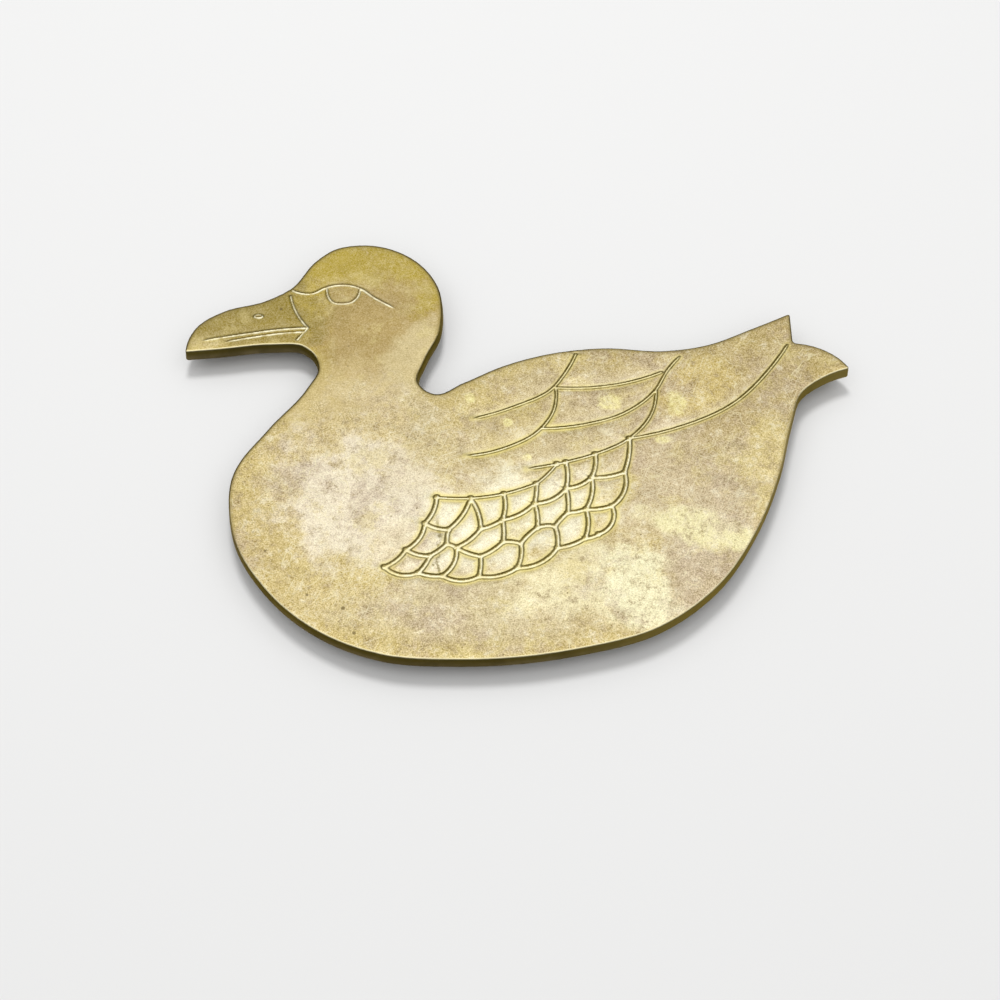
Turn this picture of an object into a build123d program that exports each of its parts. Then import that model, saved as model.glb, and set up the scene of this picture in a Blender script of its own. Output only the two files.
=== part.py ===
from build123d import *
import os

# Cast brass duck trivet: a flat duck-shaped plate with raised feather lines, standing on four turned feet.
# Millimetres, +Z up, bill towards -X, head towards +Y, the table at Z = 0.

# Plate
LENGTH = 216.6            # bill tip to tail tip, before their corners are rounded
WIDTH = 154.6             # belly to crown
PLATE_THICKNESS = 5.0
CORNER_RADIUS = 1.0       # the outline's tips and notch
RIM_RADIUS = 0.6          # where the top face turns into the wall

# Raised lines cast into the top face
LINE_WIDTH = 0.9          # lines of the head, the wing and the scales' upper edge
SCALE_WIDTH = 1.4         # the other arcs of the breast scales
RELIEF_HEIGHT = 0.4
KNOT_DIAMETER = 2.0       # the blob where the arcs run together
NOSTRIL_LENGTH = 3.4
NOSTRIL_WIDTH = 1.9
NOSTRIL_SLOT_LENGTH = 1.7
NOSTRIL_SLOT_WIDTH = 0.5
NOSTRIL_SLOT_RISE = 0.3    # from the nostril's middle

# Turned feet
FOOT_HEIGHT = 6.0
FOOT_DIAMETER = 11.0
FOOT_EDGE_RADIUS = 1.6    # lower edge of the foot
STUD_DIAMETER = 5.0
STUD_LENGTH = 3.0
STUD_CHAMFER = 0.5
STUD_CLEARANCE = 0.05     # all round the stud
SOCKET_RUNOUT = 0.4       # drilled deeper than the stud reaches

PLATE_TOP = FOOT_HEIGHT + PLATE_THICKNESS

# Outline, clockwise from the tip of the bill, with a corner wherever two stretches meet.
# Places on the plate are in percent of its length from the bill and of its width from the belly.
BILL_TIP = (0, 71.6)
TAIL_UPPER_TIP = (91.6, 82.1)
TAIL_NOTCH = (91.7, 74.4)
TAIL_LOWER_TIP = (100, 67.6)
CORNERS = [BILL_TIP, TAIL_UPPER_TIP, TAIL_NOTCH, TAIL_LOWER_TIP]

HEAD_AND_BACK = [
    BILL_TIP, (1.3, 78.1), (5.6, 82.6), (11.5, 85.1), (15.3, 88.3), (19, 95.7), (21.9, 98.9),
    (25.6, 100), (32.9, 97.4), (38.2, 88.4), (38.5, 77.4), (36.3, 69.9), (35.4, 64.5), (37.6, 61.7),
    (41.7, 64.2), (47.7, 68.5), (56.3, 72.1), (62.8, 73.1), (72.2, 72.4), (78.6, 73.9), (85.1, 77.8),
    TAIL_UPPER_TIP,
]
TAIL_FEATHER = [TAIL_NOTCH, (95.8, 72.9), (98.2, 70.7), TAIL_LOWER_TIP]
BELLY_AND_BREAST = [
    TAIL_LOWER_TIP, (95.7, 65.2), (92.3, 61.4), (90.6, 54.5), (88.4, 42.7), (84.4, 29), (78.5, 16.5),
    (69.9, 7.2), (57.9, 2.2), (42, 0), (31, 1.1), (22.3, 5.9), (14, 15.9), (9.1, 28),
    (8.4, 41.2), (13.2, 52.8), (18.7, 63.2), (20.1, 68.2), (17.7, 73.1), (13.2, 73.5), (5.3, 72.3),
    BILL_TIP,
]

# Lines of the head
BROW = [(15.7, 87.5), (18.6, 86.6), (21, 88.3), (23.3, 88.9), (25.7, 88.2), (28.4, 85.4), (31.6, 82.7)]
EYE = [(21, 88.3), (21.2, 85.9), (22.1, 84.3), (23.5, 84), (24.8, 84.4), (25.8, 86), (26, 87.9)]
BILL_BASE = [(15.5, 85.9), (16.4, 82), (18.4, 77.8)]
CHEEK = [(18.4, 77.8), (16.9, 74.8)]
UPPER_LIP = [(18.4, 77.8), (15, 77.5), (9, 76.2), (2.4, 74.4)]
LOWER_LIP = [(17.9, 76.8), (15, 76.5), (10.5, 75.5), (5.8, 74.1)]
NOSTRIL = (10.8, 80.7)

# Lines of the wing feathers, the last one running out to the tail
WING_LINES = [
    [(43.3, 55), (49.6, 58), (55.1, 62.3), (57.2, 66.4), (58.8, 71)],
    [(42.4, 46.1), (47.9, 47.8), (53.5, 52.7), (55.4, 57.2), (55.7, 62.7)],
    [(55.7, 62.7), (61.1, 62.7), (66.3, 63.9), (71.5, 66.5)],
    [(53.5, 52.7), (59.8, 53.6), (66, 56.6), (70.6, 62.2), (72.4, 66.9), (74.4, 70.5)],
    [(51.3, 43), (57, 44.6), (61.3, 46.5), (66.4, 50.3), (70, 57), (70.6, 62.2)],
    [(66.4, 50.3), (74.4, 53.3), (81.5, 58.3), (88.1, 68), (90.7, 73.5)],
]

# Breast scales: the knots of four rows, and the arcs between them with their bow in percent of the chord.
# A bow above zero swells to the left of the way from the first knot to the second.
KNOTS = {
    "a1": (38.3, 36.3), "a2": (43.2, 36.1), "a3": (48, 37.1), "a4": (52.7, 39.5), "a5": (55.7, 44.2),
    "a6": (57, 44.6), "a7": (61.3, 46.5), "a8": (66.4, 50.3),
    "b1": (36.7, 30.3), "b2": (40.1, 28.9), "b3": (44.7, 29.1), "b4": (47.8, 31.1), "b5": (52.4, 34.9),
    "b6": (57, 38.5), "b7": (60.7, 41), "b8": (65.5, 42.2),
    "c1": (34.1, 24.3), "c2": (37.5, 22.9), "c3": (39.9, 25.6), "c4": (41.2, 24.8), "c5": (44.7, 22.8),
    "c6": (47.9, 26.1), "c7": (50.4, 25.7), "c8": (52.8, 29.3), "c9": (55.3, 29.6), "c10": (57.2, 32.8),
    "c11": (59.8, 33.6), "c12": (63.5, 34.3),
    "d1": (31.1, 20.4), "d2": (35.9, 19.1), "d3": (39.3, 18.4), "d4": (44.5, 18.3), "d5": (49.9, 20.2),
    "d6": (55.6, 24.7), "d7": (59.6, 26.9), "d8": (61.5, 27.8),
}
SCALE_EDGE = [("a1", "a2", -2), ("a2", "a3", -2), ("a3", "a4", -2), ("a4", "a5", -4)]
SCALE_LINES = [
    ("a1", "b1", 9), ("b1", "b2", -9), ("b2", "a2", -8), ("a2", "b3", 7), ("b3", "b4", -6),
    ("a3", "b4", 7), ("b4", "b5", -9), ("a4", "b5", 4), ("b5", "b6", -13), ("a6", "b6", 6),
    ("b6", "b7", -11), ("a7", "b7", 8), ("b7", "b8", -6), ("a8", "b8", 5),
    ("b1", "c1", 13), ("c1", "c2", -9), ("c2", "c3", -4), ("b2", "c3", -4), ("c3", "c4", 4),
    ("c4", "b3", -8), ("c4", "c5", -6), ("b4", "c6", 4), ("c5", "c6", -6), ("c6", "c7", 6),
    ("c7", "c8", 4), ("b5", "c8", 5), ("c8", "c9", 9), ("c9", "c10", 3), ("b6", "c10", 4),
    ("c10", "c11", -5), ("b7", "c11", 9), ("c11", "c12", -6), ("b8", "c12", 16),
    ("c1", "d1", 9), ("c2", "d2", 6), ("c4", "d3", 15), ("c5", "d4", 4), ("c7", "d5", 8),
    ("c9", "d6", 6), ("c11", "d7", 8), ("c12", "d8", 22),
    ("d1", "d2", -17), ("d2", "d3", -7), ("d3", "d4", -15), ("d4", "d5", -11), ("d5", "d6", -14),
    ("d6", "d7", -7), ("d7", "d8", -8),
]

# Where the feet stand: under the head, the breast, the rump and the tail
FEET = {
    "head_foot": (27.1, 81.7), "breast_foot": (21.1, 22.4),
    "rump_foot": (71.8, 20.4), "tail_foot": (81.7, 63.9),
}


def at(place):
    """Point on the plate, with the middle of its length and width at the origin."""
    across, up = place
    return Vector((across / 100 - 0.5) * LENGTH, (up / 100 - 0.5) * WIDTH)


def heading(before, here, after):
    """Direction in which the circle through three points passes the middle one."""
    coming, going = here - before, after - here
    return (coming.normalized() * going.length + going.normalized() * coming.length).normalized()


def mirrored(direction, chord):
    """Direction at the far end of an arc that has the given direction at the near end."""
    along = chord.normalized()
    return along * (2 * direction.dot(along)) - direction


def smooth(places):
    """Curves from each place to the next that join without a kink."""
    points = [at(place) for place in places]
    inner = [heading(*three) for three in zip(points, points[1:], points[2:])]
    first = mirrored(inner[0], points[1] - points[0])
    last = mirrored(inner[-1], points[-1] - points[-2])
    ways = [first, *inner, last]
    return [Spline(*ends, tangents=directions) for ends, directions in
            zip(zip(points, points[1:]), zip(ways, ways[1:]))]


def arc(start, end, bow):
    """Arc between two places on the plate."""
    chord = at(end) - at(start)
    return SagittaArc(at(start), at(end), chord.length * bow / 100)


def dot(place, diameter):
    """Round blob at the end of a raised line."""
    return Pos(at(place)) * Circle(diameter / 2)


def make_relief():
    """Flat pattern of all the raised lines."""
    curved = [BROW, EYE, BILL_BASE, UPPER_LIP, LOWER_LIP, *WING_LINES]
    strips = [trace(smooth(line), LINE_WIDTH) for line in curved]
    strips.append(trace(Line(at(CHEEK[0]), at(CHEEK[1])), LINE_WIDTH))
    for lines, width in ((SCALE_EDGE, LINE_WIDTH), (SCALE_LINES, SCALE_WIDTH)):
        strips += [trace(arc(KNOTS[a], KNOTS[b], bow), width) for a, b, bow in lines]
    ends = [dot(place, LINE_WIDTH) for line in [*curved, CHEEK] for place in (line[0], line[-1])]
    knots = [dot(place, KNOT_DIAMETER) for place in KNOTS.values()]
    nostril = Ellipse(NOSTRIL_LENGTH / 2, NOSTRIL_WIDTH / 2)
    nostril -= Pos(0, NOSTRIL_SLOT_RISE) * SlotOverall(NOSTRIL_SLOT_LENGTH, NOSTRIL_SLOT_WIDTH)
    return Sketch() + strips + ends + knots + Pos(at(NOSTRIL)) * nostril


def make_plate():
    """The casting: the plate, its raised lines and the blind sockets for the feet."""
    tail_end = Line(at(TAIL_UPPER_TIP), at(TAIL_NOTCH))
    sides = [*smooth(HEAD_AND_BACK), tail_end, *smooth(TAIL_FEATHER), *smooth(BELLY_AND_BREAST)]
    plate = extrude(make_face(sides), PLATE_THICKNESS)
    uprights = plate.edges().filter_by(Axis.Z)
    plate = fillet([uprights.sort_by_distance(at(place))[0] for place in CORNERS], CORNER_RADIUS)
    rim = plate.faces().sort_by(Axis.Z)[-1].outer_wire().edges()
    plate = Pos(0, 0, FOOT_HEIGHT) * fillet(rim, RIM_RADIUS)
    plate += Pos(0, 0, PLATE_TOP) * extrude(make_relief(), RELIEF_HEIGHT)
    bore = Circle(STUD_DIAMETER / 2 + STUD_CLEARANCE)
    socket = Pos(0, 0, FOOT_HEIGHT) * extrude(bore, STUD_LENGTH + SOCKET_RUNOUT)
    for place in FEET.values():
        plate -= Pos(at(place)) * socket
    return plate


def make_foot():
    """Turned foot: a round pad with a stud that goes up into the plate."""
    pad = extrude(Circle(FOOT_DIAMETER / 2), FOOT_HEIGHT)
    pad = fillet(pad.edges().sort_by(Axis.Z)[0], FOOT_EDGE_RADIUS)
    stud = extrude(Circle(STUD_DIAMETER / 2), STUD_LENGTH)
    stud = chamfer(stud.edges().sort_by(Axis.Z)[-1], STUD_CHAMFER)
    return pad + Pos(0, 0, FOOT_HEIGHT) * stud


plate = make_plate()
middle = plate.bounding_box().center()
to_middle = Pos(-middle.X, -middle.Y, 0)

os.makedirs("parts", exist_ok=True)
export_step(to_middle * plate, "parts/duck_plate.step")
for name, place in FEET.items():
    export_step(to_middle * Pos(at(place)) * make_foot(), f"parts/{name}.step")
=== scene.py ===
import math

import bpy
from mathutils import Matrix, Vector, noise
from mathutils.bvhtree import BVHTree


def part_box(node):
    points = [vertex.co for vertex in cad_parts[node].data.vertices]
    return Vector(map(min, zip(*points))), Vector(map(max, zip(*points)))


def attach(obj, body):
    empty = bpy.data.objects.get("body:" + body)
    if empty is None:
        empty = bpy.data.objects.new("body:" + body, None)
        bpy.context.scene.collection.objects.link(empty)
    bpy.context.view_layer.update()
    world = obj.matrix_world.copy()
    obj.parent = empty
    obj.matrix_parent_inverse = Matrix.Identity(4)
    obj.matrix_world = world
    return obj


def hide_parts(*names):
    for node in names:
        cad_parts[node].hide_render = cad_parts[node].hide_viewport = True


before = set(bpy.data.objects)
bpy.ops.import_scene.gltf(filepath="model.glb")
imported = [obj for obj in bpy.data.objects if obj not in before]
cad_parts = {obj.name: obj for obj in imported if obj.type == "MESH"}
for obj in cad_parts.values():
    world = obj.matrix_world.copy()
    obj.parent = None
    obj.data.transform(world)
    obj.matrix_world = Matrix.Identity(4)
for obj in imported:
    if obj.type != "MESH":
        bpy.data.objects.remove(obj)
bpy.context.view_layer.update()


# Duck plate: one sand casting in yellow brass, polished by hand on top and left dull at the wall and
# below. The raised lines are part of the casting: the face dips towards each line, and free ends fade
# into the face. The feet go into blind holes from below, so nothing of them shows on the top face.
PLATE_BOTTOM = 0.006
PLATE_TOP = 0.011
PLATE_THICKNESS = PLATE_TOP - PLATE_BOTTOM
WALL_MIDDLE = (PLATE_BOTTOM + PLATE_TOP) / 2
LINE_TOP = 0.0114
LINE_HEIGHT = LINE_TOP - PLATE_TOP
LINE_MIDDLE = (PLATE_TOP + LINE_TOP) / 2
FEET = ("head_foot", "breast_foot", "rump_foot", "tail_foot")

POINT_SPACING = 0.0003           # between the points of the softened mesh
TRIANGLES = 185000               # in the finished mesh
FINE_MARGIN = 0.0009             # the mesh stays fine this near to an edge or a line
PLAIN_WALL = (0.0009, 0.004)     # heights on the wall between which it may be coarse
PLAIN_WALL_SKIN = 0.0005         # points this near to the wall count as plain wall
FACE_SKIN = 0.0003               # points this near to the top or the underside lie on it
WALL_SKIN = 0.0004               # points this near to the wall lie on it
TOP_SKIN = 0.0001                # faces this near to the lines' level are their tops
FACE_REACH = 0.02                # how far a point of the top face looks for the wall
WALL_REACH = 0.002               # and how far any other point does
SOCKET_REACH = 0.004             # faces this near to a foot's axis belong to its socket

RIM_ROUND = 0.0006               # where the top face turns into the wall
RIM_CLEAR = 0.0008               # the straight wall ends this far below the top
LOWER_ROUND = 0.0005             # where the wall turns into the underside
WALL_LEAN = 0.0004               # the mould's draft: how far the wall draws in from bottom to top
WALL_LEAN_WIDTH = 0.0025         # and how far in from the wall the metal follows it
EDGE_ROLL = 0.00015              # how far the top face sinks towards its rim
EDGE_ROLL_WIDTH = 0.0035
UNEVENNESS = 0.00005             # of the top face, which was smoothed by hand
UNEVEN_LUMPS = 55                # per metre

BEAD_ROUND = 0.0006              # a line is a round bead: how far in from its foot it is highest
BEAD_FOOT = 0.0001               # and how far its foot spreads
BEAD_HEADROOM = 0.00002          # it stays this far below the level on which a pot stands
BEAD_AT_RIM = (0.0002, 0.0012)   # it rises to its height between these distances from the wall
DIP_DEPTH = 0.00035              # how far the face dips towards the upper side of each line
DIP_WIDTH = 0.006
LOWER_DIP_DEPTH = 0.00012        # and towards its lower side
LOWER_DIP_WIDTH = 0.003
DIP_START = 0.0004               # the dip comes in over this distance from a line's side
SIDE_START = 0.0002              # and the difference between the two sides over this one
FREE_ENDS = [(-0.0396, 0.0505), (-0.0142, 0.0077), (-0.0162, -0.0061), (0.0031, -0.0108),
             (-0.1028, 0.0377), (-0.0954, 0.0372), (0.0539, 0.0330), (0.0895, 0.0376)]
FADE_LENGTH = 0.0032             # along which a free end grows to a full line
FREE_END_HEIGHT = 0.3            # its share of a full line's height
FREE_END_LOSS = 0.0004           # and how far each of its sides draws in

HEAD_Y, HEAD_X = (0.025, 0.04), (-0.02, -0.03)   # the head begins between these places
HEAD_DIP_LOSS = 0.8              # share by which the face dips less beside the head's lines
HEAD_CREASE_LOSS = 0.5           # share by which their creases are paler
CREASE_LOSS = 0.25               # a crease is paler by this share on a line, and by twice that below it
CREASE_SHIFT = 0.0002            # a crease lies this much further out above a line
HEAD_CREASE_SHIFT = 0.0002       # and this much on the head
LIT_WAY = Vector((0.7, -0.7))  # painted light lies on this flank of the lines, and painted shade on the other


def ease(low, high, value):
    """0 at low, 1 at high and a soft rise between them."""
    share = min(1.0, max(0.0, (value - low) / (high - low)))
    return share * share * (3 - 2 * share)


def faces_up(face):
    """Whether a face lies level and looks up."""
    return face.normal.z > 0.9


def stands_upright(face):
    """Whether a face is part of a wall."""
    return abs(face.normal.z) < 0.1


def surface_of(mesh, wanted):
    """Search tree over the faces of a mesh that are wanted."""
    points = [vertex.co.copy() for vertex in mesh.vertices]
    faces = [tuple(face.vertices) for face in mesh.polygons if wanted(face)]
    return BVHTree.FromPolygons(points, faces)


def apply_modifier(piece, kind, **settings):
    """Add a modifier to a piece and apply it at once."""
    modifier = piece.modifiers.new(kind.lower(), kind)
    for name, value in settings.items():
        setattr(modifier, name, value)
    bpy.ops.object.modifier_apply(modifier=modifier.name)


bpy.ops.object.select_all(action="DESELECT")
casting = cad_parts["duck_plate"]
plate = casting.copy()
plate.data = casting.data.copy()
plate.name = "cast_plate"
plate.parent = None
bpy.context.scene.collection.objects.link(plate)
bpy.context.view_layer.objects.active = plate
plate.select_set(True)
bpy.ops.object.mode_set(mode="EDIT")
bpy.ops.mesh.select_all(action="SELECT")
bpy.ops.mesh.remove_doubles(threshold=0.000001)
bpy.ops.object.mode_set(mode="OBJECT")

sockets = [(Vector(low) + Vector(high)) / 2 for low, high in map(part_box, FEET)]


def is_wall(face):
    """Whether a face belongs to the plate's outer wall, and not to its rim or to a socket."""
    clear = min((face.center.xy - socket.xy).length for socket in sockets) > SOCKET_REACH
    return clear and stands_upright(face) and face.center.z < PLATE_TOP - RIM_CLEAR


def is_line_top(face):
    """Whether a face is the level top of a raised line."""
    return faces_up(face) and face.center.z > LINE_TOP - TOP_SKIN


def is_line_side(face):
    """Whether a face is the side of a raised line."""
    return stands_upright(face) and face.center.z > PLATE_TOP


walls = surface_of(plate.data, is_wall)
line_tops = surface_of(plate.data, is_line_top)
line_sides = surface_of(plate.data, is_line_side)


def to_wall(place, reach):
    """How far inside the wall a point lies, and the level direction that leads away from the wall."""
    spot, outwards, _, _ = walls.find_nearest(Vector((place.x, place.y, WALL_MIDDLE)), reach)
    if spot is None:
        return reach, Vector((0, 0))
    level = place.xy - spot.xy
    inset = level.length
    if inset < 0.00002:   # on the wall itself, where the difference gives no direction
        return 0.0, -outwards.xy.normalized()
    if level.dot(outwards.xy) > 0:
        return -inset, -level / inset
    return inset, level / inset


def to_line(place):
    """How far a point lies outside the nearest raised line, and the level direction away from it."""
    spot, _, _, _ = line_sides.find_nearest(Vector((place.x, place.y, LINE_MIDDLE)), DIP_WIDTH)
    if spot is None:
        return DIP_WIDTH, Vector((0, 0))
    level = place.xy - spot.xy
    if line_tops.ray_cast(Vector((place.x, place.y, 1)), Vector((0, 0, -1)))[0] is not None:
        return -level.length, -level.normalized()
    return level.length, level.normalized()


def onto_arc(inset, depth, radius):
    """Bring a point near a square corner onto the arc that rounds it; both are measured from the corner."""
    across, along = max(0.0, inset) - radius, max(0.0, depth) - radius
    reach = math.hypot(across, along)
    return radius + across / reach * radius, radius + along / reach * radius


def fading(distance, width):
    """1 at no distance, falling ever more softly to 0 at the width."""
    return max(0.0, 1 - max(0.0, distance) / width) ** 2


apply_modifier(plate, "REMESH", mode="VOXEL", voxel_size=POINT_SPACING)
apply_modifier(plate, "SMOOTH", factor=0.5, iterations=2)

marks = {name: [0.0] * len(plate.data.vertices)
         for name in ("bead", "edged", "flank", "glow", "shade", "from_rim", "rim_side")}
plain = []
for vertex in plate.data.vertices:
    place, index = vertex.co, vertex.index
    height, depth = place.z - PLATE_BOTTOM, PLATE_TOP - place.z
    on_face = depth < FACE_SKIN
    inset, inwards = to_wall(place, FACE_REACH if on_face else WALL_REACH)
    from_line, away = to_line(place) if on_face else (DIP_WIDTH, Vector((0, 0)))
    side = away.y if from_line > 0 else 0.0
    marks["from_rim"][index] = max(0.0, inset)
    marks["rim_side"][index] = -inwards.y
    on_level = (on_face or height < FACE_SKIN) and min(inset, from_line) > FINE_MARGIN
    on_wall = inset < PLAIN_WALL_SKIN and PLAIN_WALL[0] < height < PLAIN_WALL[1]
    if on_level or on_wall:
        plain.append(index)

    # The edges: a rounded rim on top, a small round below, and a straight wall that leans in.
    wanted = inset
    if height < LOWER_ROUND and inset < LOWER_ROUND:
        wanted, height = onto_arc(inset, height, LOWER_ROUND)
        place.z = PLATE_BOTTOM + height
    elif depth > RIM_ROUND and inset < WALL_SKIN:
        wanted = 0.0
    elif depth < RIM_ROUND and inset < RIM_ROUND:
        wanted, depth = onto_arc(inset, depth, RIM_ROUND)
        place.z = PLATE_TOP - depth
    elif on_face:
        depth, place.z = 0.0, PLATE_TOP
    leaning = max(0.0, 1 - inset / WALL_LEAN_WIDTH) ** 2
    wanted += WALL_LEAN * min(1.0, height / PLATE_THICKNESS) * leaning
    place.x += inwards.x * (wanted - inset)
    place.y += inwards.y * (wanted - inset)

    # The top face rolls off towards the rim, is never quite flat and dips towards the lines.
    if depth < RIM_ROUND:
        place.z -= EDGE_ROLL * max(0.0, 1 - inset / EDGE_ROLL_WIDTH) ** 2
    if on_face:
        end = min(math.hypot(place.x - x, place.y - y) for x, y in FREE_ENDS)
        shown = ease(0, FADE_LENGTH, end)
        from_line += FREE_END_LOSS * (1 - shown)
        on_head = ease(*HEAD_Y, place.y) * ease(*HEAD_X, place.x)
        dipping = shown * (1 - HEAD_DIP_LOSS * on_head)
        outside = ease(0, SIDE_START, from_line)
        # A crease's dark is oxide and painted shade; the shade makes it darker above a line than below.
        crease = (1 - HEAD_CREASE_LOSS * on_head) * (1 - CREASE_LOSS * (1 - side * outside))
        marks["edged"][index] = shown * crease
        marks["flank"][index] = away.dot(LIT_WAY)
        # These shares weigh the real dips, and in the brass also a painted sheen above a line and painted
        # shade below it.
        marks["glow"][index] = glow = fading(from_line, DIP_WIDTH) * dipping * max(0.0, side)
        marks["shade"][index] = shade = fading(from_line, LOWER_DIP_WIDTH) * dipping * max(0.0, -side)
        place.z -= (DIP_DEPTH * glow + LOWER_DIP_DEPTH * shade) * ease(0, DIP_START, from_line)
        place.z -= UNEVENNESS * noise.noise(Vector((place.x, place.y, 0.0)) * UNEVEN_LUMPS)
        # The lines are round beads that fade at their free ends and before the rim.
        inside = min(1.0, max(0.0, (BEAD_FOOT - from_line) / BEAD_ROUND))
        risen = math.sin(math.pi / 2 * inside) * (FREE_END_HEIGHT + (1 - FREE_END_HEIGHT) * shown)
        place.z += LINE_HEIGHT * risen * ease(*BEAD_AT_RIM, inset)
        place.z = min(place.z, LINE_TOP - BEAD_HEADROOM)
        from_line -= CREASE_SHIFT * side * outside + HEAD_CREASE_SHIFT * on_head
    marks["bead"][index] = from_line

for name, values in marks.items():
    plate.data.attributes.new(name, "FLOAT", "POINT").data.foreach_set("value", values)
plate.vertex_groups.new(name="plain").add(plain, 1.0, "ADD")
kept = TRIANGLES / (2 * len(plate.data.polygons))
apply_modifier(plate, "DECIMATE", ratio=kept, vertex_group="plain")
plate.vertex_groups.clear()
bpy.ops.object.shade_smooth()


def new_material(name):
    """Material with a plain shader, its node tree and that shader."""
    material = bpy.data.materials.new(name)
    material.use_nodes = True
    return material, material.node_tree, material.node_tree.nodes["Principled BSDF"]


def feed(tree, socket, value):
    """Give a socket a value, or link it to the socket that the value comes from."""
    if hasattr(value, "is_output"):
        tree.links.new(value, socket)
    else:
        socket.default_value = value


def node(tree, kind, **values):
    """Add a node and set its properties and inputs by name."""
    made = tree.nodes.new("ShaderNode" + kind)
    for name, value in values.items():
        if hasattr(made, name):
            setattr(made, name, value)
        else:
            feed(tree, made.inputs[name.replace("_", " ")], value)
    return made


def step(tree, value, low, high):
    """Soft step of a value: 0 at low, 1 at high."""
    return node(tree, "MapRange", interpolation_type="SMOOTHSTEP", Value=value,
                From_Min=low, From_Max=high).outputs[0]


def spread(tree, value, low, high, least, most=1.0):
    """Straight rise of a value: least at low, most at high."""
    return node(tree, "MapRange", Value=value, From_Min=low, From_Max=high,
                To_Min=least, To_Max=most).outputs[0]


def maths(tree, operation, *values):
    """Result of a sum on values that are sockets or numbers."""
    made = node(tree, "Math", operation=operation)
    for socket, value in zip(made.inputs, values):
        feed(tree, socket, value)
    return made.outputs[0]


def overlap(tree, *masks):
    """Mask that is 1 only where all the masks are."""
    product = masks[0]
    for mask in masks[1:]:
        product = maths(tree, "MULTIPLY", product, mask)
    return product


def outside_of(tree, mask, share=1.0):
    """Mask that is 1 where another is 0, and lower by the share where that is 1."""
    return maths(tree, "SUBTRACT", 1.0, maths(tree, "MULTIPLY", mask, share))


def mark(tree, name):
    """A value that the mesh carries at its points."""
    return node(tree, "Attribute", attribute_name=name).outputs["Fac"]


def cloud(tree, where, scale, offset=(0, 0, 0), detail=8.0, roughness=0.62):
    """Cloudy noise with so many lumps per metre."""
    moved = node(tree, "Mapping", Vector=where, Location=offset).outputs[0]
    return node(tree, "TexNoise", Vector=moved, Scale=scale, Detail=detail,
                Roughness=roughness).outputs[0]


def tint(tree, under, colour, mask, strength=1.0):
    """Lay a colour over another where the mask is 1."""
    made = node(tree, "Mix", data_type="RGBA")
    feed(tree, made.inputs[0], maths(tree, "MULTIPLY", mask, strength))
    for socket, value in ((made.inputs[6], under), (made.inputs[7], colour)):
        feed(tree, socket, value if hasattr(value, "is_output") else (*value, 1))
    return made.outputs[2]


PATCH_WANDER = 2.4         # how far noise carries the edge of a patch, in shares of its reach
PATCH_EDGE = (2.5, 1.9)    # where it fades, with the noise added


def patch(tree, where, middle, reach, ragged, turn=0.0):
    """Mask of one ragged oval patch on the plate: 1 in its middle, 0 past its reach along and across."""
    inside = node(tree, "Mapping", vector_type="TEXTURE", Vector=where, Location=(*middle, 0),
                  Rotation=(0, 0, math.radians(turn)), Scale=(*reach, 1)).outputs[0]
    radius = node(tree, "VectorMath", operation="LENGTH", Vector=inside).outputs["Value"]
    wandering = maths(tree, "ADD", radius, maths(tree, "MULTIPLY", ragged, PATCH_WANDER))
    return step(tree, wandering, *PATCH_EDGE)


brass, tree, shader = new_material("aged_cast_brass")
where = node(tree, "TexCoord").outputs["Object"]
x_place, y_place, z_place = node(tree, "SeparateXYZ", Vector=where).outputs
facing = node(tree, "SeparateXYZ", Vector=node(tree, "NewGeometry").outputs["Normal"]).outputs["Z"]
sponge = cloud(tree, where, 90, detail=9.0, roughness=0.7)
inset = mark(tree, "from_rim")
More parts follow.
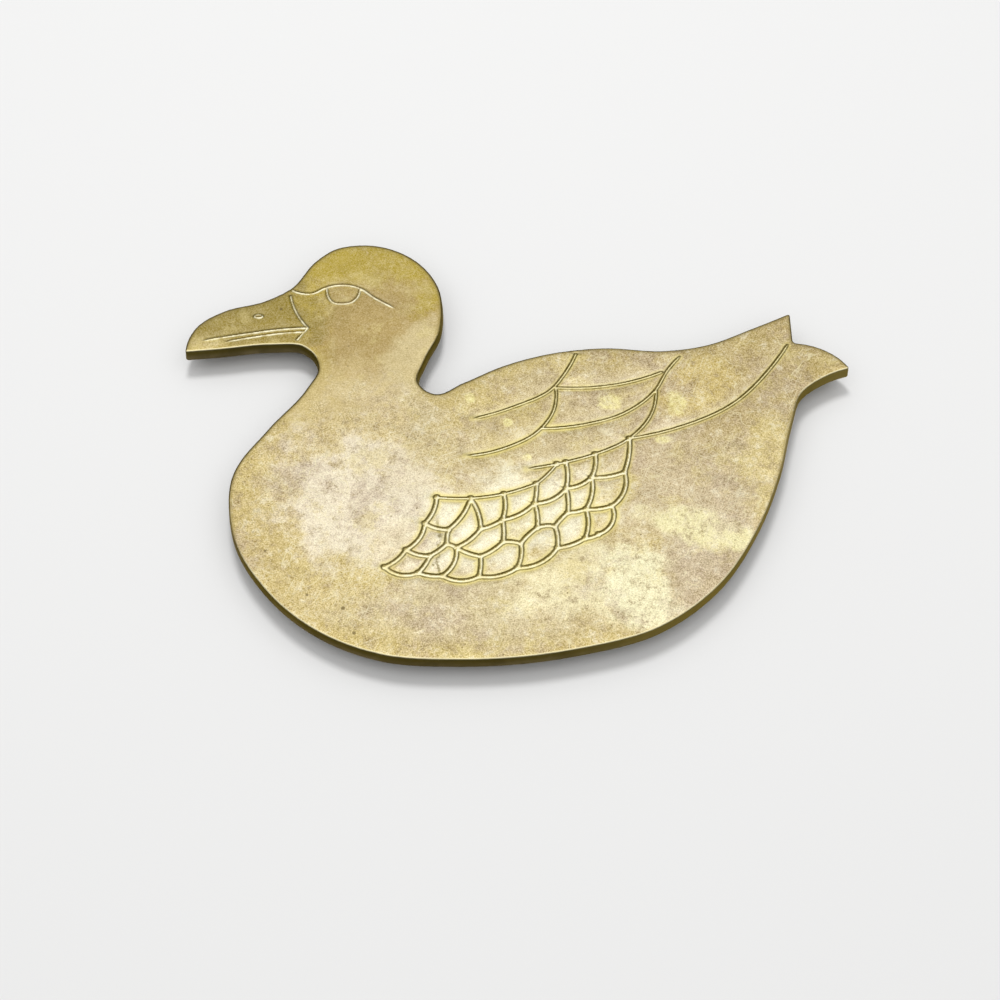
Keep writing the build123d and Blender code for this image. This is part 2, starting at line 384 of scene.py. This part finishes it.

# Old polish: tan brass, golden olive towards the edge, and zones in other shades. Some are tone that hands
# and cloths have left; the head, cheek and bill are darker olive, partly as painted shade; the breast, belly
# and flank are paler, partly as a painted broad highlight; the nape has a painted highlight and the flank a
# painted glint. The face has a painted sheen in the dip above a line and painted shade in the one below it.
TAN, WARM_TAN = (0.64, 0.525, 0.29), (0.67, 0.54, 0.235)
EDGE_OLIVE = (0.62, 0.49, 0.185)
EDGE_BAND = (0.009, 0.002)     # distances from the rim between which the olive comes in
EDGE_WANDER = 0.045            # how far noise carries that band
ZONES = (                      # middle, reach along and across, turn in degrees, colour, strength
    ((-0.055, 0.060), (0.058, 0.034), 0, (0.53, 0.405, 0.075), 0.85),     # head: olive tone and painted shade
    ((-0.047, 0.042), (0.020, 0.020), 0, (0.51, 0.375, 0.17), 0.80),      # cheek: olive tone and painted shade
    ((-0.087, 0.047), (0.026, 0.013), 0, (0.37, 0.285, 0.085), 0.85),     # bill: olive tone and painted shade
    ((-0.035, 0.028), (0.008, 0.018), -15, (0.74, 0.62, 0.34), 0.80),     # nape: painted highlight where the neck's edge rolls off
    ((-0.053, 0.004), (0.018, 0.024), 0, (0.72, 0.58, 0.29), 0.60),       # throat
    ((-0.066, -0.028), (0.030, 0.036), 0, (0.66, 0.525, 0.235), 0.70),    # breast
    ((-0.045, -0.024), (0.031, 0.021), -30, (0.90, 0.80, 0.61), 0.95),    # pale breast: polish and a painted broad highlight
    ((-0.005, -0.004), (0.034, 0.012), 12, (0.70, 0.58, 0.34), 0.35),     # under the wing
    ((-0.004, -0.029), (0.034, 0.016), 20, (0.97, 0.91, 0.68), 0.90),     # scales
    ((0.064, -0.009), (0.030, 0.030), 0, (0.63, 0.51, 0.335), 0.75),      # flank
    ((0.060, -0.045), (0.022, 0.016), 30, (0.62, 0.51, 0.36), 0.70),      # rump
    ((0.085, 0.032), (0.050, 0.034), 0, (0.55, 0.43, 0.195), 0.75),       # tail
    ((-0.010, -0.058), (0.036, 0.012), 0, (0.70, 0.60, 0.38), 0.60),      # belly
    ((0.022, -0.050), (0.024, 0.013), 10, (0.95, 0.86, 0.54), 0.75),      # rubbed belly, with a painted broad highlight
    ((0.037, -0.053), (0.011, 0.015), 20, (0.93, 0.87, 0.57), 0.90),      # its brightest part, where the painted highlight is strongest
    ((0.058, -0.032), (0.017, 0.006), -15, (0.95, 0.88, 0.50), 0.85),     # painted glint on the flank
    ((0.080, -0.010), (0.011, 0.020), -15, (0.76, 0.63, 0.28), 0.70),     # gilt at the right edge
    ((0.057, 0.020), (0.014, 0.010), 20, (0.70, 0.55, 0.21), 0.65),       # wing's end
    ((0.027, 0.003), (0.018, 0.006), 15, (0.58, 0.47, 0.27), 0.60),       # lower feather
    ((-0.036, -0.038), (0.009, 0.008), 0, (0.74, 0.62, 0.40), 0.65))      # before the scales
DIP_SHEEN, DIP_GLINT, DIP_SHADE = (0.84, 0.76, 0.57), (1.0, 0.94, 0.70), (0.36, 0.27, 0.11)
MAUVE_OXIDE, GOLD_FLECK = (0.52, 0.41, 0.30), (0.74, 0.62, 0.28)
warm = step(tree, cloud(tree, where, 26, (4, 1, 0)), 0.42, 0.62)
colour = tint(tree, TAN, WARM_TAN, warm)
wander = maths(tree, "MULTIPLY", maths(tree, "SUBTRACT", sponge, 0.5), EDGE_WANDER)
colour = tint(tree, colour, EDGE_OLIVE, step(tree, maths(tree, "ADD", inset, wander), *EDGE_BAND), 0.6)
for middle, reach, turn, polish, strength in ZONES:
    colour = tint(tree, colour, polish, patch(tree, where, middle, reach, sponge, turn), strength)
# Painted sheen and glint in the dip above each line, and painted shade in the dip below it.
glow = mark(tree, "glow")
colour = tint(tree, colour, DIP_SHEEN, glow, 0.55)
colour = tint(tree, colour, DIP_GLINT, step(tree, glow, 0.60, 0.90), 0.65)
colour = tint(tree, colour, DIP_SHADE, mark(tree, "shade"), 0.8)
calm = patch(tree, where, (-0.062, 0.048), (0.058, 0.036), sponge)
lively = outside_of(tree, calm, 0.85)
on_scales = patch(tree, where, (0.002, -0.024), (0.05, 0.026), sponge, 20)
mauve = step(tree, cloud(tree, where, 45, (2, 7, 0), detail=9.0, roughness=0.74), 0.49, 0.62)
colour = tint(tree, colour, MAUVE_OXIDE, overlap(tree, mauve, lively), 0.55)
gold = step(tree, cloud(tree, where, 75, (6, 3, 0), detail=9.0, roughness=0.74), 0.52, 0.63)
colour = tint(tree, colour, GOLD_FLECK, gold, 0.5)

# Specks: curdled oxide, lacquer drops, fine grain, scratches, brown pits and one dark run. The head is
# calmer than the body, and the scales hold less oxide.
CURDLED_OXIDE, CURDLED_SHINE = (0.42, 0.325, 0.18), (0.90, 0.82, 0.60)
LACQUER = (0.93, 0.84, 0.40)
DROPS = (((-0.0149, 0.0158), (0.0015, 0.0017)), ((-0.0027, 0.0067), (0.0014, 0.0016)),
         ((0.0300, 0.0143), (0.0040, 0.0030)), ((0.0515, 0.0139), (0.0032, 0.0042)),
         ((0.0464, 0.0000), (0.0025, 0.0013)), ((0.0033, -0.0063), (0.0017, 0.0014)))
GRIT = (1.25, 1.15, 0.85)      # how far the grain moves red, green and blue
HAIR_SHINE = (0.88, 0.79, 0.49)
HAIRS = ((60, (1, 9, 0), 0.005, 0.6), (110, (8, 2, 0), 0.008, 0.55))   # per metre, offset, width, strength
SCRATCH_SHINE = (0.92, 0.84, 0.58)
SCRATCH_SIZE = (0.011, 0.0004)
SCRATCHES = ((20, 0.4), (68, 0.45), (112, 0.3), (155, 0.4))    # direction in degrees, strength
PIT_BROWN, DEEP_PIT_BROWN = (0.22, 0.155, 0.06), (0.20, 0.15, 0.06)
PITS = ((120, 0.055, 0.72, 0.85),    # per metre, size in shares of their spacing, share without, strength
        (260, 0.10, 0.62, 0.8), (52, 0.045, 0.6, 0.5))
DEEP_PITS = (((-0.0773, 0.0506), 0.0005), ((-0.0775, -0.0401), 0.0005), ((-0.0639, -0.0553), 0.0005),
             ((-0.0528, -0.0598), 0.0006), ((-0.0492, -0.0682), 0.0006))
RUN_BROWN = (0.26, 0.21, 0.08)
RUN_X, RUN_WANDER = -0.0214, 0.006
RUN_WIDTH = (0.0008, 0.0003)   # distances from its middle between which the run comes in
RUN_TOP, RUN_END = (-0.028, -0.031), (-0.0515, -0.0495)
curdle = cloud(tree, where, 240, (3, 8, 0), detail=7.0, roughness=0.78)
oxide = overlap(tree, step(tree, curdle, 0.505, 0.64), lively, outside_of(tree, on_scales, 0.55))
colour = tint(tree, colour, CURDLED_OXIDE, oxide, 0.7)
colour = tint(tree, colour, CURDLED_SHINE, overlap(tree, step(tree, curdle, 0.475, 0.35), lively), 0.6)
speckle = step(tree, cloud(tree, where, 700, (2, 5, 0), detail=3.0), 0.38, 0.56)
broken = maths(tree, "MAXIMUM", speckle, 0.55)
for middle, reach in DROPS:
    drop = overlap(tree, patch(tree, where, middle, reach, curdle), broken)
    colour = tint(tree, colour, LACQUER, drop, 0.8)
grain = cloud(tree, where, 2400, detail=2.0, roughness=0.7)
gritty = overlap(tree, maths(tree, "SUBTRACT", grain, 0.5), outside_of(tree, calm, 0.45))
grit = node(tree, "VectorMath", operation="MULTIPLY_ADD", Vector=gritty)
grit.inputs[1].default_value = GRIT
feed(tree, grit.inputs[2], colour)
colour = grit.outputs[0]
for scale, offset, width, strength in HAIRS:
    curl = cloud(tree, where, scale, offset, detail=2.0, roughness=0.45)
    hair = step(tree, maths(tree, "ABSOLUTE", maths(tree, "SUBTRACT", curl, 0.5)), width, width / 3)
    hairy = step(tree, cloud(tree, where, 80, offset), 0.47, 0.57)
    colour = tint(tree, colour, HAIR_SHINE, overlap(tree, hair, lively, hairy), strength)
handled = overlap(tree, lively, step(tree, cloud(tree, where, 30, (5, 9, 0)), 0.44, 0.58))
for turn, strength in SCRATCHES:
    along = node(tree, "Mapping", vector_type="TEXTURE", Vector=where, Location=(turn, 0, 0),
                 Rotation=(0, 0, math.radians(turn)), Scale=(*SCRATCH_SIZE, 1)).outputs[0]
    streaks = node(tree, "TexNoise", Vector=along, Scale=1.0, Detail=1.0).outputs[0]
    scratches = overlap(tree, step(tree, streaks, 0.61, 0.68), handled)
    colour = tint(tree, colour, SCRATCH_SHINE, scratches, strength)
for scale, size, without, strength in PITS:
    holes = node(tree, "TexVoronoi", Vector=where, Scale=scale)
    chance = node(tree, "SeparateColor", Color=holes.outputs["Color"]).outputs[0]
    pits = step(tree, holes.outputs["Distance"], size, size * 0.4)
    pits = overlap(tree, pits, step(tree, chance, without, without + 0.3))
    colour = tint(tree, colour, PIT_BROWN, pits, strength)
for middle, size in DEEP_PITS:
    colour = tint(tree, colour, DEEP_PIT_BROWN, patch(tree, where, middle, (size, size), sponge), 0.8)
wander = maths(tree, "MULTIPLY", cloud(tree, where, 220, (3, 3, 0), detail=4.0), RUN_WANDER)
off_run = maths(tree, "ABSOLUTE", maths(tree, "SUBTRACT", maths(tree, "ADD", x_place, wander), RUN_X))
run = overlap(tree, step(tree, off_run, *RUN_WIDTH), step(tree, y_place, *RUN_TOP),
              step(tree, y_place, *RUN_END), speckle)
colour = tint(tree, colour, RUN_BROWN, run, 0.8)

# Lines: gilt beside them where cloths stop, pale on top from wear and a painted highlight, which also lies
# on the lit flank, and dark in the crease with oxide and painted shade, with painted shade on the other
# flank.
# Distances are measured outwards from a line's side.
GILT, SCALE_GILT = (0.82, 0.70, 0.26), (0.86, 0.74, 0.26)
WORN_LIT_GOLD, WORN_LIT_PALE = (0.95, 0.86, 0.48), (0.98, 0.92, 0.64)
FLANK_SHADE, CREASE_OXIDE_AND_SHADE = (0.36, 0.29, 0.08), (0.185, 0.143, 0.005)
GILT_BAND, SCALE_GILT_BAND = (0.0014, 0.0003), (0.0022, 0.0004)
WORN_LIT_TOP = (-0.00008, -0.00036)
ON_LINE = (0.0001, -0.0001)
CREASE_INNER, CREASE_OUTER = (-0.00026, -0.00012), (0.00046, 0.0002)
bead, flank = mark(tree, "bead"), mark(tree, "flank")
on_body = outside_of(tree, calm)
colour = tint(tree, colour, GILT, overlap(tree, step(tree, bead, *GILT_BAND), on_body), 0.45)
halo = overlap(tree, step(tree, bead, *SCALE_GILT_BAND), on_scales,
               step(tree, cloud(tree, where, 55, (9, 1, 0)), 0.36, 0.58))
colour = tint(tree, colour, SCALE_GILT, halo, 0.55)
# Painted shade on the flank of a line that faces away from the light.
shaded_flank = overlap(tree, step(tree, bead, *ON_LINE), step(tree, flank, -0.1, -0.55), on_body)
colour = tint(tree, colour, FLANK_SHADE, shaded_flank, 0.75)
# Pale bead top: wear, and a painted highlight on its lit half.
worn_and_lit = overlap(tree, spread(tree, cloud(tree, where, 420, (4, 6, 0), detail=4.0), 0.36, 0.56, 0.3),
               step(tree, bead, *WORN_LIT_TOP), step(tree, flank, -0.6, 0.1))
pale = tint(tree, WORN_LIT_GOLD, WORN_LIT_PALE, maths(tree, "MAXIMUM", on_scales, calm))
colour = tint(tree, colour, pale, worn_and_lit, 0.95)
# Dark crease: oxide in the hollow, and painted shade that is darker on a line's upper side.
crease = overlap(tree, step(tree, bead, *CREASE_INNER), step(tree, bead, *CREASE_OUTER), mark(tree, "edged"),
                 spread(tree, cloud(tree, where, 260, (7, 4, 0), detail=3.0), 0.36, 0.6, 0.35))
colour = tint(tree, colour, CREASE_OXIDE_AND_SHADE, crease, 0.95)

# Edges: the near rim has a painted highlight; the other rims are dark with oxide and painted shade, in a
# wider band on the far rim; the wall and the underside keep their dark oxide. The wall has a paler painted
# reflection of the table towards its foot, and painted light makes it lighter and more olive towards the
# tail. A rim's side is -1 near, 1 far.
NEAR_RIM_HIGHLIGHT, FAR_RIM_OXIDE_AND_SHADE, OTHER_RIM_OXIDE_AND_SHADE = (0.97, 0.88, 0.56), (0.13, 0.10, 0.035), (0.10, 0.08, 0.035)
RIM_OLIVE = (0.36, 0.28, 0.10)
WALL_DARK, WALL_FOOT_REFLECTION = (0.050, 0.038, 0.006), (0.16, 0.13, 0.07)
WALL_STAIN, WALL_LIT_OLIVE = (0.05, 0.04, 0.014), (0.21, 0.165, 0.05)
RIM_BAND, FAR_RIM_BAND, OLIVE_BAND = (0.0007, 0.0005), (0.0012, 0.0008), (0.0018, 0.0010)
RIM_LEVEL = (0.0101, 0.0103)   # heights between which the wall becomes the rim
FACE_LEVEL = (0.0111, 0.0109)  # and between which a line's side stops counting as wall
side = mark(tree, "rim_side")
rim = overlap(tree, step(tree, inset, *RIM_BAND), step(tree, z_place, *RIM_LEVEL))
# Painted highlight on the near rim.
colour = tint(tree, colour, NEAR_RIM_HIGHLIGHT, overlap(tree, rim, step(tree, side, -0.3, -0.6)), 0.8)
# Oxide and painted shade on the far rim.
far = overlap(tree, step(tree, inset, *FAR_RIM_BAND), step(tree, side, -0.1, 0.25),
              step(tree, x_place, 0.03, -0.02))
colour = tint(tree, colour, FAR_RIM_OXIDE_AND_SHADE, far, 0.7)
olive = overlap(tree, step(tree, inset, *OLIVE_BAND), step(tree, side, -0.5, -0.2))
colour = tint(tree, colour, RIM_OLIVE, olive, 0.5)
# Oxide and painted shade on every rim but the near one.
colour = tint(tree, colour, OTHER_RIM_OXIDE_AND_SHADE, overlap(tree, rim, step(tree, side, -0.35, 0.05)), 0.85)
below = overlap(tree, step(tree, facing, 0.62, 0.45), step(tree, z_place, *FACE_LEVEL))
colour = tint(tree, colour, WALL_DARK, below, 0.95)
# Painted reflection of the table: the wall lighter towards its foot.
colour = tint(tree, colour, WALL_FOOT_REFLECTION, overlap(tree, below, step(tree, z_place, 0.0096, 0.0066)), 0.8)
mottled = overlap(tree, below, step(tree, cloud(tree, where, 110), 0.42, 0.6))
colour = tint(tree, colour, WALL_STAIN, mottled, 0.5)
# Painted light: the wall lighter and more olive towards the tail.
lit_tailwards = overlap(tree, below, step(tree, x_place, -0.005, 0.06))
colour = tint(tree, colour, WALL_LIT_OLIVE, lit_tailwards, 0.75)

feed(tree, shader.inputs["Base Color"], colour)
shader.inputs["Metallic"].default_value = 1.0
shader.inputs["Specular Tint"].default_value = (0.88, 0.74, 0.42, 1)
rough = spread(tree, cloud(tree, where, 80, (5, 5, 0)), 0.3, 0.7, 0.30, 0.46)
rough = maths(tree, "ADD", rough, maths(tree, "MULTIPLY", below, 0.12))
feed(tree, shader.inputs["Roughness"], rough)
dents = cloud(tree, where, 140, (1, 1, 0), detail=3.0)
dented = node(tree, "Bump", Height=dents, Strength=0.5, Distance=0.00025).outputs[0]
bumpy = node(tree, "Bump", Height=grain, Strength=0.3, Distance=0.00004, Normal=dented).outputs[0]
feed(tree, shader.inputs["Normal"], bumpy)

plate.data.materials.clear()
plate.data.materials.append(brass)
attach(plate, "root")
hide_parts("duck_plate")


# Feet: four small turned brass buttons, each with a stud that is pressed up into a blind hole of the plate.
# They come off the lathe with a rounded lower edge, a groove under the plate and a hollow faced into the
# bottom, with a centre mark in it.
FOOT_HEIGHT = 0.006
FOOT_RADIUS = 0.0055
FOOT_EDGE_ROUND = 0.0016
FOOT_SIDES = 96
STUD_RADIUS = 0.0025
STUD_LENGTH = 0.003
STUD_CHAMFER = 0.0005
GROOVE_PLACE = 0.0048
GROOVE_HALF = 0.0003
GROOVE_NARROWS = 0.94      # the groove's radius as a share of the foot's
BOTTOM_RING = 0.0022       # from the foot's side to the hollow
HOLLOW_WIDTH = 0.0024      # from the hollow's edge to the centre mark
HOLLOW_SLOPE = 0.0003
HOLLOW_DEPTH = 0.0003
SHARP_ANGLE = math.radians(32)
MILLIMETRES = 1000


def choose_faces(piece, wanted):
    """Select the faces that are wanted, and go into edit mode."""
    bpy.ops.object.mode_set(mode="EDIT")
    bpy.ops.mesh.select_mode(type="FACE")
    bpy.ops.mesh.select_all(action="DESELECT")
    bpy.ops.object.mode_set(mode="OBJECT")
    for face in piece.data.polygons:
        face.select = wanted(face)
    bpy.ops.object.mode_set(mode="EDIT")


def choose_edges(piece, height, radius):
    """Select the ring of edges at a height and radius, and go into edit mode."""
    bpy.ops.object.mode_set(mode="EDIT")
    bpy.ops.mesh.select_mode(type="EDGE")
    bpy.ops.mesh.select_all(action="DESELECT")
    bpy.ops.object.mode_set(mode="OBJECT")
    for edge in piece.data.edges:
        ends = [piece.data.vertices[i].co for i in edge.vertices]
        edge.select = all(abs(end.z - height) < 1e-6 and abs(end.xy.length - radius) < 1e-5
                          for end in ends)
    bpy.ops.object.mode_set(mode="EDIT")


bpy.ops.object.select_all(action="DESELECT")
bpy.ops.mesh.primitive_cylinder_add(vertices=FOOT_SIDES, radius=FOOT_RADIUS, depth=FOOT_HEIGHT,
                                    location=(0, 0, FOOT_HEIGHT / 2))
foot = bpy.context.object
bpy.ops.object.transform_apply(location=True, rotation=False, scale=False)
choose_faces(foot, faces_up)
bpy.ops.mesh.inset(thickness=FOOT_RADIUS - STUD_RADIUS)
bpy.ops.mesh.extrude_region_move(TRANSFORM_OT_translate={"value": (0, 0, STUD_LENGTH)})
choose_faces(foot, lambda face: face.normal.z < -0.9)
for ring in (BOTTOM_RING, HOLLOW_WIDTH):
    bpy.ops.mesh.inset(thickness=ring)
    bpy.ops.mesh.inset(thickness=HOLLOW_SLOPE)
    bpy.ops.transform.translate(value=(0, 0, HOLLOW_DEPTH))
for offset in (-GROOVE_HALF, 0.0, GROOVE_HALF):
    choose_faces(foot, lambda face: stands_upright(face) and face.center.z < FOOT_HEIGHT)
    bpy.ops.mesh.bisect(plane_co=(0, 0, GROOVE_PLACE + offset), plane_no=(0, 0, 1))
choose_edges(foot, GROOVE_PLACE, FOOT_RADIUS)
bpy.ops.transform.resize(value=(GROOVE_NARROWS, GROOVE_NARROWS, 1), center_override=(0, 0, GROOVE_PLACE))
choose_edges(foot, 0.0, FOOT_RADIUS)
bpy.ops.mesh.bevel(offset=FOOT_EDGE_ROUND, segments=8)
choose_edges(foot, FOOT_HEIGHT + STUD_LENGTH, STUD_RADIUS)
bpy.ops.mesh.bevel(offset=STUD_CHAMFER, segments=1)
bpy.ops.object.mode_set(mode="OBJECT")
bpy.ops.object.shade_smooth_by_angle(angle=SHARP_ANGLE)

turned = foot.data.attributes.new("from_axis", "FLOAT_VECTOR", "POINT")
for vertex in foot.data.vertices:
    turned.data[vertex.index].vector = vertex.co * MILLIMETRES

# Dulled brass with the lathe's rings: painted shade close under the plate, and worn where it stands. The
# heights and the rings' spacing are in millimetres, from each foot's own axis.
TURNED, DULLED = (0.60, 0.46, 0.19), (0.34, 0.25, 0.09)
UNDER_PLATE_SHADE, WORN_BASE = (0.16, 0.12, 0.04), (0.72, 0.60, 0.30)
RING_WAVES = 42.0          # radians of a ring's wave per millimetre
turned_brass, tree, shader = new_material("dull_turned_brass")
lathe = node(tree, "Attribute", attribute_name="from_axis").outputs["Vector"]
where = node(tree, "TexCoord").outputs["Object"]
flat = node(tree, "VectorMath", operation="MULTIPLY", Vector=lathe)
flat.inputs[1].default_value = (1, 1, 0)
radius = node(tree, "VectorMath", operation="LENGTH", Vector=flat.outputs[0]).outputs["Value"]
height = node(tree, "SeparateXYZ", Vector=lathe).outputs["Z"]
rings = maths(tree, "SINE", maths(tree, "MULTIPLY", maths(tree, "ADD", radius, height), RING_WAVES))
dull = step(tree, cloud(tree, where, 300, (2, 2, 0), detail=7.0, roughness=0.65), 0.42, 0.62)
colour = tint(tree, TURNED, DULLED, dull, 0.8)
# Painted shade close under the plate.
colour = tint(tree, colour, UNDER_PLATE_SHADE, step(tree, height, 4.2, 5.8), 0.7)
colour = tint(tree, colour, WORN_BASE, step(tree, height, 0.25, 0.0), 0.5)
feed(tree, shader.inputs["Base Color"], colour)
shader.inputs["Metallic"].default_value = 1.0
feed(tree, shader.inputs["Roughness"], spread(tree, dull, 0.0, 1.0, 0.32, 0.5))
grooved = node(tree, "Bump", Height=rings, Strength=0.25, Distance=0.00002).outputs[0]
feed(tree, shader.inputs["Normal"], grooved)
foot.data.materials.append(turned_brass)

for name in FEET:
    low, high = (Vector(corner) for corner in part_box(name))
    copy = foot.copy()
    copy.data = foot.data.copy()
    copy.name = "turned_" + name
    copy.data.transform(Matrix.Translation(((low.x + high.x) / 2, (low.y + high.y) / 2, 0)))
    bpy.context.scene.collection.objects.link(copy)
    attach(copy, "root")
    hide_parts(name)
bpy.data.objects.remove(foot)


# Floor, light and camera: a pale painted table, a bright patch of ceiling in a dimmer room, a lamp for the
# table alone, and the view down on the duck.
FLOOR_SIZE = 8
FLOOR_COLOUR = (0.74, 0.74, 0.736, 1)
bpy.ops.object.select_all(action="DESELECT")
bpy.ops.mesh.primitive_plane_add(size=FLOOR_SIZE, location=(0, 0, 0))
floor = bpy.context.object
floor.name = "floor"
floor_paint, _, floor_shader = new_material("pale_table")
floor_shader.inputs["Base Color"].default_value = FLOOR_COLOUR
floor_shader.inputs["Roughness"].default_value = 0.9
floor_shader.inputs["Specular IOR Level"].default_value = 0.1
floor.data.materials.append(floor_paint)

CEILING_TILT = math.radians(-3)
WALLS_LEVEL, TOP_LEVEL = 0.3, 1.4
CEILING = ((64, 0.30), (55, 0.40), (50, 0.65), (45, 0.98), (39, 1.13),    # degrees off its middle, level
           (33, 1.19), (27, 1.24), (19, 1.30), (9, 1.36))
world = bpy.data.worlds.new("studio")
world.use_nodes = True
bpy.context.scene.world = world
sky = world.node_tree
way = node(sky, "TexCoord").outputs["Generated"]
towards = node(sky, "VectorMath", operation="DOT_PRODUCT", Vector=way)
towards.inputs[1].default_value = (0, math.sin(CEILING_TILT), math.cos(CEILING_TILT))
room = node(sky, "ValToRGB", Fac=towards.outputs["Value"])
stops = room.color_ramp.elements
stops[0].position, stops[0].color = 0.0, (*[WALLS_LEVEL] * 3, 1)
stops[1].position, stops[1].color = 1.0, (*[TOP_LEVEL] * 3, 1)
for angle, level in CEILING:
    stops.new(math.cos(math.radians(angle))).color = (level, level, level, 1)
feed(sky, sky.nodes["Background"].inputs["Color"], room.outputs["Color"])
sky.nodes["Background"].inputs["Strength"].default_value = 1.0

bpy.ops.object.light_add(type="AREA", location=(-0.05, 0.4, 1.2))
lamp = bpy.context.object
lamp.name = "table_lamp"
lamp.data.shape = "DISK"
lamp.data.size = 0.3
lamp.data.energy = 6.3
lamp.rotation_euler = (-lamp.location).to_track_quat("-Z", "Y").to_euler()
lamp.visible_glossy = False    # it gives the table its shadow; the brass mirrors the ceiling alone

LOOKED_AT = Vector((-0.00525, -0.0220, 0.011))
DISTANCE = 0.655
ELEVATION = math.radians(60)
bpy.ops.object.camera_add()
camera = bpy.context.object
camera.location = LOOKED_AT + DISTANCE * Vector((0, -math.cos(ELEVATION), math.sin(ELEVATION)))
camera.rotation_euler = (math.pi / 2 - ELEVATION, 0, 0)
camera.data.sensor_width = 36
camera.data.lens = 75.6
bpy.context.scene.camera = camera
bpy.context.scene.view_settings.view_transform = "Standard"
